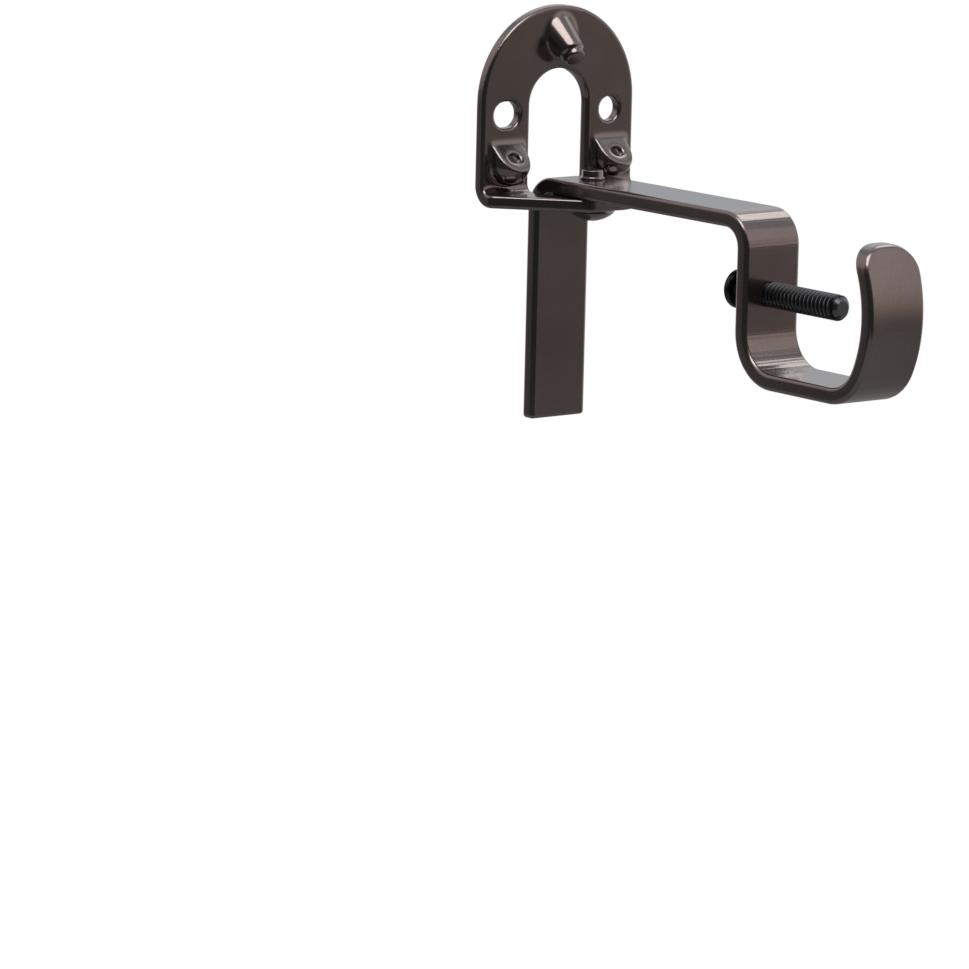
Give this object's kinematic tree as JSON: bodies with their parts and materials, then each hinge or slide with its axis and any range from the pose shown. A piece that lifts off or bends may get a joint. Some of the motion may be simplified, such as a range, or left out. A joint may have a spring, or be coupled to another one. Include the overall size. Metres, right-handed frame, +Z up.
{
  "type": "curtain pole bracket",
  "caption": "Arched wall plate with a folded tongue, a riveted bent flat bar ending in an open hook, and a clamp screw that reaches into the hook.",
  "frame": {"origin": "on the wall, halfway between the two screw holes of the wall plate", "axes": "+Y into the wall, so the bracket stands out along -Y; +Z up; +X to the right of a person who faces the wall"},
  "size_m": [0.045, 0.1254, 0.0978],
  "materials": {
    "bronze_paint": "dark bronze paint with a soft metallic sheen",
    "dark_screw": "dark oiled steel, brighter on the thread's crests"
  },
  "bodies": {
    "bracket": {"wall_plate": "bronze_paint", "hook_bar": "bronze_paint", "rivet": "bronze_paint"},
    "screw": {"clamp_screw": "dark_screw"}
  },
  "joints": [
    {"name": "screw_travel", "type": "slide", "parent": "bracket", "child": "screw", "axis": [0, -1, 0], "range_m": [-0.0244, 0.0061]}
  ]
}
